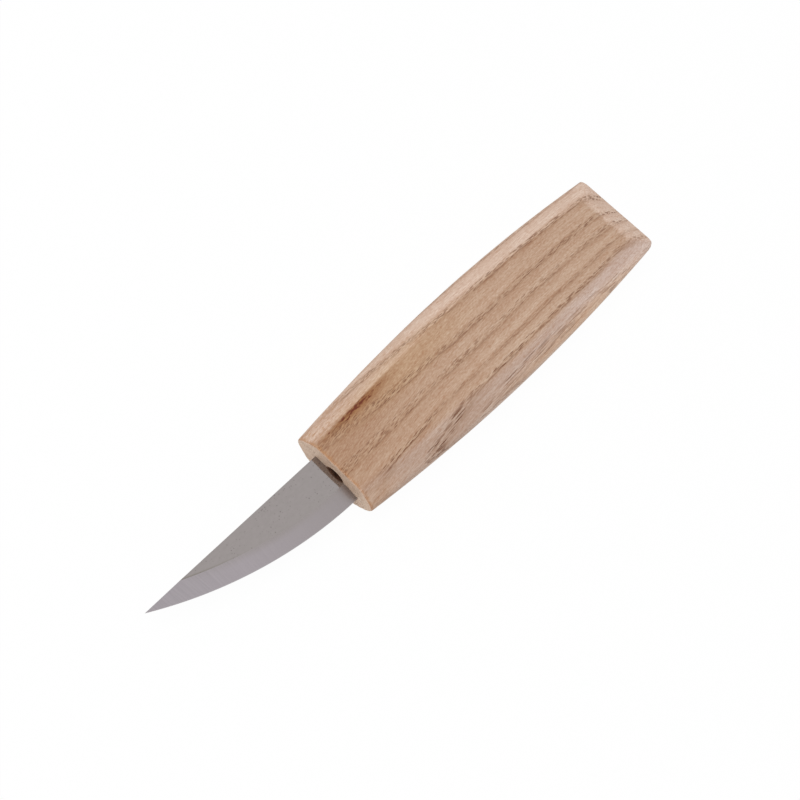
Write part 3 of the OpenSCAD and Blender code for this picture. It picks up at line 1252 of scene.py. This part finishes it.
class HandleSurface(Enum):
    """Surfaces of the handle, by material index."""

    OUTSIDE = 0
    BORE = 1


@dataclass(frozen=True)
class DrumArc:
    """Long arc that one kind of facet follows along the handle, with a flat at its middle."""

    middle: float
    end: float
    half_flat: float
    half_length: float

    def reach(self, along: float) -> float:
        """Distance of the facet from the handle's axis.

        Args:
            along: Distance from the middle of the handle's length.

        Returns:
            The distance.
        """
        squares = self.half_flat ** 2 - self.half_length ** 2 + self.middle ** 2 - self.end ** 2
        centre = squares / (2 * (self.middle - self.end))
        radius = math.hypot(self.half_flat, self.middle - centre)
        return min(self.middle, centre + math.sqrt(radius ** 2 - along ** 2))


@dataclass
class AshHandle:
    """Barrel-shaped, eight-sided handle with leaning ends, a chamfered butt and a drilled bore."""

    seat: Seat
    width: float
    thickness: float
    length: float = 110 * MM
    side_swell: float = 2.7 * MM
    face_swell: float = 3.35 * MM
    board_face_length: float = 36 * MM
    corner_bevel: float = 7.5 * MM
    butt_skew: float = math.radians(4.2)
    butt_land: float = 4.2 * MM
    butt_chamfer_length: float = 6.6 * MM
    butt_edge_radius: float = 1.7 * MM
    butt_spine_radius: float = 0.6 * MM
    front_ease: float = 0.4 * MM
    front_raggedness: float = 0.8
    rag_spacing: float = 1.8 * MM
    butt_ease: float = 0.4 * MM
    chamfer_blend: float = 1.8 * MM
    bore_radius: float = 3 * MM
    bore_depth: float = 68 * MM
    drill_point: float = 1.8 * MM
    mouth_ease: float = 0.2 * MM
    crispness: float = 30.0
    front_crispness: float = 15.0
    butt_crispness: float = 22.0
    unevenness: float = 0.06 * MM
    unevenness_spacing: float = 9 * MM
    bore_shares: tuple[float, ...] = (0.75, 0.5, 0.25, 0.1, 0.04)
    front_shares: tuple[float, ...] = (0.25, 0.5, 0.75)
    settle_passes: int = 3
    sides: int = 144
    station_spacing: float = 0.7 * MM
    arcs: dict[Facet, DrumArc] = field(init=False)

    def __post_init__(self) -> None:
        """Works out the facets' arcs from the handle's sizes."""
        middle = {Facet.BROAD: self.thickness / 2, Facet.SIDE: self.width / 2}
        swells = {Facet.BROAD: self.face_swell, Facet.SIDE: self.side_swell}
        end = {kind: middle[kind] - swells[kind] for kind in swells}
        for reaches in (middle, end):
            corner = (reaches[Facet.BROAD] + reaches[Facet.SIDE]) / math.sqrt(2)
            reaches[Facet.BEVEL] = corner - self.corner_bevel / 2
        half_flats = {Facet.BROAD: self.board_face_length / 2, Facet.BEVEL: 0.0, Facet.SIDE: 0.0}
        self.arcs = {
            kind: DrumArc(middle[kind], end[kind], half_flats[kind], self.length / 2) for kind in Facet
        }

    def butt_face_x(self, y: float) -> float:
        """Place of the leaning butt along X, at a distance across the handle."""
        return self.seat.x - self.length - y * math.tan(self.butt_skew)

    def crispness_at(self, along: float) -> float:
        """How crisp the arrises are: worn at both ends, most of all at the front.

        Args:
            along: Distance from the middle of the handle's length, towards the front.

        Returns:
            The power that blends the facets, which is higher for crisper arrises.
        """
        share = min(max(along / (self.length / 2), -1.0), 1.0)
        end = self.front_crispness if share > 0 else self.butt_crispness
        return self.crispness + (end - self.crispness) * share * share

    def section(self, x: float, from_front: float, from_butt: float, turn: float) -> tuple[float, float]:
        """Point of the handle's cross-section.

        Args:
            x: Place along X.
            from_front: Distance from the front face.
            from_butt: Distance from the butt.
            turn: Direction from the axis, as an angle from +Z towards +Y.

        Returns:
            The point's distances from the axis along Y and Z.
        """
        along = x - (self.seat.x - self.length / 2)
        round_axis = Vector((math.sin(turn), math.cos(turn), 0)) * self.width / 2
        ragged = 1 + noise.noise(round_axis / self.rag_spacing) * self.front_raggedness
        inset = ease(from_front, self.front_ease * ragged) + ease(from_butt, self.butt_ease)
        crispness = self.crispness_at(along)
        around = (Facet.BROAD, Facet.BEVEL, Facet.SIDE, Facet.BEVEL) * 2
        reaches = {kind: self.arcs[kind].reach(along) - inset for kind in Facet}
        closeness = 0.0
        for number, kind in enumerate(around):
            facing = math.cos(turn - number * math.tau / len(around))
            closeness += (max(facing, 0.0) / reaches[kind]) ** crispness
        radius = closeness ** (-1 / crispness)

        # The rounding of the arrises is scaled so that it takes nothing off the broad and narrow sides
        fill = {}
        for kind in (Facet.BROAD, Facet.SIDE):
            shared = reaches[kind] / reaches[Facet.BEVEL] / math.sqrt(2)
            fill[kind] = (1 + 2 * shared ** crispness) ** (1 / crispness)
        y = radius * math.sin(turn) * fill[Facet.SIDE]
        z = radius * math.cos(turn) * fill[Facet.BROAD]

        corner = self.butt_edge_radius if y > 0 else self.butt_spine_radius
        kept = reaches[Facet.SIDE] + inset - ease(from_butt, corner)
        y = math.copysign(min(abs(y), kept), y)
        at_chamfer = self.arcs[Facet.BROAD].reach(self.length / 2 - self.butt_chamfer_length)
        slope = (at_chamfer - self.butt_land / 2) / self.butt_chamfer_length
        chamfer = self.butt_land / 2 + from_butt * slope - inset
        return y, math.copysign(soft_min(abs(z), chamfer, self.chamfer_blend), z)

    def surface_point(self, share: float, turn: float) -> Vector:
        """Point on the outside of the handle.

        Args:
            share: Share of the way from the front face to the butt.
            turn: Direction from the axis, as an angle from +Z towards +Y.

        Returns:
            The point, in the part's frame.
        """
        # The ends lean, so the place along the handle and the section there are settled in turn
        y = z = 0.0
        x = self.seat.x - share * self.length
        for _ in range(self.settle_passes):
            y, z = self.section(x, share * self.length, (1 - share) * self.length, turn)
            x = self.seat.face_x(y) * (1 - share) + self.butt_face_x(y) * share
        rough = (1 + noise.noise(Vector((x, y, z)) / self.unevenness_spacing)) / 2 * self.unevenness
        scale = 1 - rough / math.hypot(y, z)
        return Vector((x, y * scale, self.seat.z + z * scale))

    def bore_point(self, depth: float, radius: float, turn: float) -> Vector:
        """Point on the wall of the bore, or on the front face round its mouth.

        Args:
            depth: Distance behind the front face, or 0 for a point on that leaning face.
            radius: Distance from the bore's axis.
            turn: Direction from the axis, as an angle from +Z towards +Y.

        Returns:
            The point, in the part's frame.
        """
        y = radius * math.sin(turn)
        face = self.seat.face_x(y) if depth == 0 else self.seat.x
        return Vector((face - depth, y, self.seat.z + radius * math.cos(turn)))

    def bore_rings(self) -> list[Callable[[float], Vector]]:
        """Rings of the bore, from the drill's point to the mouth.

        Returns:
            For each ring, the function that gives its point in a direction.
        """
        point = self.bore_radius / 20
        steps = [(self.bore_depth + self.drill_point, point), (self.bore_depth, self.bore_radius)]
        for share in self.bore_shares:
            steps.append((self.bore_depth * share, self.bore_radius))
        steps.append((self.mouth_ease * 3, self.bore_radius))
        steps.append((self.mouth_ease, self.bore_radius + self.mouth_ease / 4))
        steps.append((0.0, self.bore_radius + self.mouth_ease))
        return [
            lambda turn, depth=depth, radius=radius: self.bore_point(depth, radius, turn)
            for depth, radius in steps
        ]

    def front_rings(self) -> list[Callable[[float], Vector]]:
        """Rings of the front face, between the mouth and the arris.

        Returns:
            For each ring, the function that gives its point in a direction.
        """
        mouth = self.bore_radius + self.mouth_ease
        return [
            lambda turn, share=share: self.bore_point(0.0, mouth, turn).lerp(
                self.surface_point(0.0, turn), share,
            )
            for share in self.front_shares
        ]

    def barrel_rings(self) -> list[Callable[[float], Vector]]:
        """Rings of the outside, from the front face to the butt.

        Returns:
            For each ring, the function that gives its point in a direction.
        """
        rounding = [1 - math.cos(step * math.pi / 8) for step in range(4)]
        distances = [self.front_ease * step for step in rounding]
        last = self.length - self.butt_ease
        count = round((last - self.front_ease) / self.station_spacing)
        distances += [self.front_ease + (last - self.front_ease) * step / count for step in range(count + 1)]
        distances += [self.length - self.butt_ease * step for step in reversed(rounding)]
        return [
            lambda turn, share=distance / self.length: self.surface_point(share, turn)
            for distance in distances
        ]

    def build(self) -> bpy.types.Object:
        """Builds the handle as one closed skin, drawn ring by ring from the bore's end to the butt.

        Returns:
            The handle's object.
        """
        skin = bmesh.new()
        turn = skin.verts.layers.float.new("turn")
        bore, front, barrel = self.bore_rings(), self.front_rings(), self.barrel_rings()
        circle = bmesh.ops.create_circle(skin, cap_ends=True, segments=self.sides, radius=self.bore_radius)
        for number, vert in enumerate(circle["verts"]):
            vert[turn] = number * math.tau / self.sides
            vert.co = bore[0](vert[turn])
        edges = list(skin.edges)
        for face in skin.faces:
            face.material_index = HandleSurface.BORE.value
        rings = [(ring, HandleSurface.BORE, True) for ring in bore[1:]]
        rings += [(ring, HandleSurface.OUTSIDE, False) for ring in [*front, barrel[0]]]
        rings += [(ring, HandleSurface.OUTSIDE, True) for ring in barrel[1:]]
        for ring, surface, smooth in rings:
            grown = bmesh.ops.extrude_edge_only(skin, edges=edges)["geom"]
            edges = [item for item in grown if isinstance(item, bmesh.types.BMEdge) and item.is_boundary]
            for item in grown:
                if isinstance(item, bmesh.types.BMVert):
                    item.co = ring(item[turn])
                elif isinstance(item, bmesh.types.BMFace):
                    item.material_index = surface.value
                    item.smooth = smooth
        bmesh.ops.contextual_create(skin, geom=edges)
        return finish_piece("ash_handle", skin, "handle")

    def dress(self, piece: bpy.types.Object) -> None:
        """Gives the handle its finishes.

        Args:
            piece: The handle's object.
        """
        sizes_mm = (size / MM for size in (self.length / 2, self.butt_chamfer_length, self.butt_land / 2))
        finishes = {
            HandleSurface.OUTSIDE: SandedAsh(GrowthRings(*sizes_mm)).material(self.seat),
            HandleSurface.BORE: DrilledAsh().material(),
        }
        for surface in HandleSurface:
            piece.data.materials.append(finishes[surface])


class BladeSurface(Enum):
    """Surfaces of the blade, by material index."""

    FLAT = 0
    BEVEL = 1
    HONED = 2


@dataclass
class CarvingBlade:
    """Short blade with a straight spine, a curved edge ground on both sides, and a notched tang."""

    seat: Seat
    length: float
    width: float = 15.4 * MM
    spine_offset: float = 6.9 * MM
    thickness: float = 2 * MM
    bevel_width: float = 5.3 * MM
    honed_width: float = 0.2 * MM
    honed_setback: float = 0.05 * MM
    tang_length: float = 64 * MM
    tang_width: float = 5.2 * MM
    tang_end_width: float = 4.2 * MM
    tang_step: float = 0.1 * MM
    tang_point_length: float = 3 * MM
    notch_count: int = 3
    notch_radius: float = 0.8 * MM
    overcut: float = math.radians(2)
    flat_facing: float = 0.9
    sharp_angle: float = math.radians(2)
    grind_steps: int = 180
    notch_steps: int = 8

    @property
    def edge_radius(self) -> float:
        """Radius of the arc that the edge follows."""
        return (self.length ** 2 + self.width ** 2) / (2 * self.width)

    @property
    def edge_centre(self) -> Vector:
        """Centre of that arc, on the blade's middle plane."""
        return Vector((self.seat.x, self.width - self.spine_offset - self.edge_radius, self.seat.z))

    @property
    def edge_sweep(self) -> float:
        """Angle of that arc from the heel to the tip."""
        return math.asin(self.length / self.edge_radius)

    def grind_disc(self) -> bmesh.types.BMesh:
        """Spins the blade's section about the centre of the edge's arc, past both ends of the blade.

        Returns:
            A closed mesh.
        """
        steel = bmesh.new()
        half = self.thickness / 2
        radius = self.edge_radius
        honed_height = half * self.honed_width / self.bevel_width
        upper = [
            (radius - self.width - self.thickness, half),
            (radius - self.bevel_width, half),
            (radius - self.honed_width, honed_height),
        ]
        lower = [(reach, -height) for reach, height in reversed(upper)]
        start = Matrix.Rotation(self.overcut, 4, "Z")
        verts = [
            steel.verts.new(self.edge_centre + start @ Vector((0, reach, height)))
            for reach, height in [*upper, (radius - self.honed_setback, 0), *lower]
        ]
        bmesh.ops.contextual_create(steel, geom=verts)
        bmesh.ops.spin(
            steel, geom=[*steel.verts, *steel.edges, *steel.faces], cent=self.edge_centre, axis=(0, 0, 1),
            angle=-(self.edge_sweep + 2 * self.overcut), steps=self.grind_steps,
        )
        return steel

    def cut(self, steel: bmesh.types.BMesh, place: Vector, outwards: Vector) -> bmesh.types.BMFace:
        """Cuts the blade off square along a plane.

        Args:
            steel: The blade's mesh.
            place: A point of the plane.
            outwards: Direction of the waste.

        Returns:
            The new face.
        """
        whole = [*steel.verts, *steel.edges, *steel.faces]
        sawn = bmesh.ops.bisect_plane(
            steel, geom=whole, dist=CUT_REACH, plane_co=place, plane_no=outwards, clear_outer=True,
        )["geom_cut"]
        edges = [item for item in sawn if isinstance(item, bmesh.types.BMEdge)]
        return bmesh.ops.contextual_create(steel, geom=edges)["faces"][0]

    def tang_stations(self) -> list[tuple[float, float]]:
        """Works out the tang's outline, with its notches and its point.

        Returns:
            Depths behind the shoulders, each with half the tang's width there.
        """
        taper = self.tang_length - self.tang_point_length
        depths = {0.0, taper}
        for notch in range(1, self.notch_count + 1):
            middle = taper * notch / (self.notch_count + 1)
            for step in range(self.notch_steps + 1):
                depths.add(middle - self.notch_radius * math.cos(math.pi * step / self.notch_steps))
        stations = []
        for depth in sorted(depths):
            half = (self.tang_width + (self.tang_end_width - self.tang_width) * depth / taper) / 2
            for notch in range(1, self.notch_count + 1):
                off = depth - taper * notch / (self.notch_count + 1)
                half -= math.sqrt(max(self.notch_radius ** 2 - off ** 2, 0.0))
            stations.append((depth, half))
        stations.append((self.tang_length, self.tang_end_width / 4))
        return stations

    def draw_tang(self, steel: bmesh.types.BMesh, shoulder: bmesh.types.BMFace) -> None:
        """Extrudes the tang out of the middle of the shoulder, station by station.

        Args:
            steel: The blade's mesh.
            shoulder: Face along the handle's front.
        """
        geometry = [shoulder, *shoulder.edges, *shoulder.verts]
        for side in (-1, 1):
            geometry = bmesh.ops.bisect_plane(
                steel, geom=geometry, dist=CUT_REACH,
                plane_co=(0, side * self.tang_width / 2, 0), plane_no=(0, 1, 0),
            )["geom"]
        faces = [item for item in geometry if isinstance(item, bmesh.types.BMFace)]
        root = min(faces, key=lambda face: abs(face.calc_center_median().y))
        for depth, half in self.tang_stations():
            grown = bmesh.ops.extrude_face_region(steel, geom=[root])["geom"]
            bmesh.ops.delete(steel, geom=[root], context="FACES_ONLY")
            root = next(item for item in grown if isinstance(item, bmesh.types.BMFace))
            for vert in root.verts:
                side = math.copysign(1, vert.co.y)
                height = math.copysign(self.thickness / 2 - self.tang_step, vert.co.z - self.seat.z)
                face = self.seat.face_x(side * half) if depth == 0 else self.seat.x
                vert.co = Vector((face - depth, side * half, self.seat.z + height))

    def mark_surfaces(self, steel: bmesh.types.BMesh) -> None:
        """Sorts the faces into flats, bevels and honed edge, and unrolls them along the edge.

        Args:
            steel: The blade's mesh.
        """
        unrolled = steel.loops.layers.uv.new(GRIND_MAP)
        for face in steel.faces:
            from_centre = (face.calc_center_median() - self.edge_centre).to_2d().length
            from_edge = self.edge_radius - from_centre
            surface = BladeSurface.FLAT
            if abs(face.normal.z) > self.flat_facing and from_edge < self.bevel_width:
                surface = BladeSurface.HONED if from_edge < self.honed_width else BladeSurface.BEVEL
            face.material_index = surface.value
            face.smooth = True
            for loop in face.loops:
                arm = loop.vert.co - self.edge_centre
                around = math.atan2(arm.x, arm.y) * self.edge_radius
                loop[unrolled].uv = (around, self.edge_radius - arm.to_2d().length)

    def build(self) -> bpy.types.Object:
        """Builds the blade and its tang as one closed skin.

        Returns:
            The blade's object.
        """
        steel = self.grind_disc()
        self.cut(steel, Vector((0, -self.spine_offset, 0)), Vector((0, -1, 0)))
        lean = Vector((-math.cos(self.seat.skew), -math.sin(self.seat.skew), 0))
        shoulder = self.cut(steel, Vector((self.seat.x, 0, 0)), lean)
        self.draw_tang(steel, shoulder)
        steel.normal_update()
        self.mark_surfaces(steel)
        piece = finish_piece("carving_blade", steel, "blade")
        piece.data.set_sharp_from_angle(angle=self.sharp_angle)
        return piece

    def dress(self, piece: bpy.types.Object) -> None:
        """Gives the blade its finishes.

        Args:
            piece: The blade's object.
        """
        edge_mm = self.edge_radius * self.edge_sweep / MM
        finishes = {
            BladeSurface.FLAT: SatinSteel(),
            BladeSurface.BEVEL: GroundSteel(
                "belt_ground_steel", heel="#9A9393", middle="#A59EA2", tip="#A39DA1",
            ),
            BladeSurface.HONED: GroundSteel(
                "honed_steel", heel="#A29B9C", middle="#ABA5A8", tip="#ABA5A8", roughness=0.2,
            ),
        }
        for surface in BladeSurface:
            piece.data.materials.append(finishes[surface].material(edge_mm, self.bevel_width / MM))


@dataclass
class Studio:
    """Pale floor, soft light from overhead and a camera at the photograph's angle."""

    floor_half: float = 1.5
    floor_glow: float = 0.97
    ambient: float = 0.52
    sensor_mm: float = 36
    clip_start: float = 10 * MM
    image_pixels: float = 800
    focal_pixels: float = 2126.54
    camera_place: Triple = (184.73 * MM, 48.03 * MM, 530 * MM)
    camera_target: Triple = (-1.837 * MM, -2.837 * MM, 10 * MM)
    camera_roll: float = math.radians(31.0663)
    key_place: Triple = (0.2, -0.18, 1.1)
    key_size: float = 0.7
    key_power: float = 6.4

    def seen_directly(self, tree: Tree) -> bpy.types.Node:
        """Adds nodes that give 1 where the camera, a reflection or clear glass looks, and 0 for other light.

        Args:
            tree: Node tree that takes the nodes.

        Returns:
            The node with the result.
        """
        path = add_node(tree, Node.LIGHT_PATH).outputs
        eyes = add_node(tree, Node.MATH, {
            0: path["Is Camera Ray"], 1: path["Is Glossy Ray"],
        }, operation="MAXIMUM")
        return add_node(tree, Node.MATH, {0: eyes, 1: path["Is Transmission Ray"]}, operation="MAXIMUM")

    def build_world(self) -> None:
        """Makes the world: white to look at, and an even soft light."""
        world = bpy.data.worlds.new("studio")
        world.use_nodes = True
        tree = world.node_tree
        tree.nodes.clear()
        soft = add_node(tree, Node.BACKGROUND, {"Color": linear("#FFFFFF"), "Strength": self.ambient})
        white = add_node(tree, Node.BACKGROUND, {"Color": linear("#FFFFFF"), "Strength": 1.0})
        sky = add_node(tree, Node.MIX_SHADER, {0: self.seen_directly(tree), 1: soft, 2: white})
        add_node(tree, Node.WORLD_OUTPUT, {"Surface": sky})
        bpy.context.scene.world = world

    def build_floor(self) -> None:
        """Makes the floor: a white sweep that keeps the knife's soft shadow."""
        surface = bmesh.new()
        bmesh.ops.create_grid(surface, x_segments=1, y_segments=1, size=self.floor_half)
        mesh = bpy.data.meshes.new("floor")
        surface.to_mesh(mesh)
        surface.free()
        floor = bpy.data.objects.new("floor", mesh)
        bpy.context.scene.collection.objects.link(floor)
        material = new_material("white_studio_paper")
        tree = material.node_tree
        paper = add_node(tree, Node.SURFACE, {"Base Color": linear("#FAFAFA"), "Roughness": 0.9})
        glow = add_node(tree, Node.EMISSION, {"Color": linear("#FFFFFF"), "Strength": 1.0})
        share = add_node(tree, Node.MATH, {
            0: self.seen_directly(tree), 1: self.floor_glow,
        }, operation="MULTIPLY")
        mixed = add_node(tree, Node.MIX_SHADER, {0: share, 1: paper, 2: glow})
        add_node(tree, Node.OUTPUT, {"Surface": mixed})
        mesh.materials.append(material)

    def build_light(self) -> None:
        """Hangs the soft key light, which the steel doesn't mirror."""
        light = bpy.data.lights.new("key", "AREA")
        light.shape = "DISK"
        light.size = self.key_size
        light.energy = self.key_power
        lamp = bpy.data.objects.new("key", light)
        lamp.location = self.key_place
        lamp.rotation_euler = (-Vector(self.key_place)).to_track_quat("-Z", "Y").to_euler()
        lamp.visible_glossy = False
        bpy.context.scene.collection.objects.link(lamp)

    def build_camera(self) -> None:
        """Sets up the camera."""
        camera = bpy.data.cameras.new("camera")
        camera.sensor_width = self.sensor_mm
        camera.lens = self.focal_pixels * camera.sensor_width / self.image_pixels
        camera.clip_start = self.clip_start
        stand = bpy.data.objects.new("camera", camera)
        stand.location = self.camera_place
        aim = Vector(self.camera_target) - Vector(self.camera_place)
        stand.rotation_mode = "QUATERNION"
        stand.rotation_quaternion = aim.to_track_quat("-Z", "Y") @ Quaternion((0, 0, 1), self.camera_roll)
        bpy.context.scene.collection.objects.link(stand)
        bpy.context.scene.camera = stand

    def build(self) -> None:
        """Builds the whole studio and sets plain colour handling."""
        self.build_world()
        self.build_floor()
        self.build_light()
        self.build_camera()
        bpy.context.scene.view_settings.view_transform = "Standard"


def main() -> None:
    """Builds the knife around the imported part, then the studio."""
    logging.basicConfig(level=logging.INFO, format="%(name)s: %(message)s")
    Studio().build()
    blade_length = 60 * MM
    front_skew = math.radians(1.7)
    handle_low, handle_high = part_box("handle")
    seat = Seat(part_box("blade")[1].x - blade_length, (handle_low.z + handle_high.z) / 2, front_skew)

    blade = CarvingBlade(seat, blade_length)
    blade.dress(blade.build())
    handle = AshHandle(seat, handle_high.y - handle_low.y, handle_high.z - handle_low.z)
    handle.dress(handle.build())

    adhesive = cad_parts["tang_adhesive"]
    adhesive.data.materials.clear()
    adhesive.data.materials.append(CuredEpoxy().material())
    log.info("tang_adhesive: dressed")


if __name__ == "__main__":
    main()
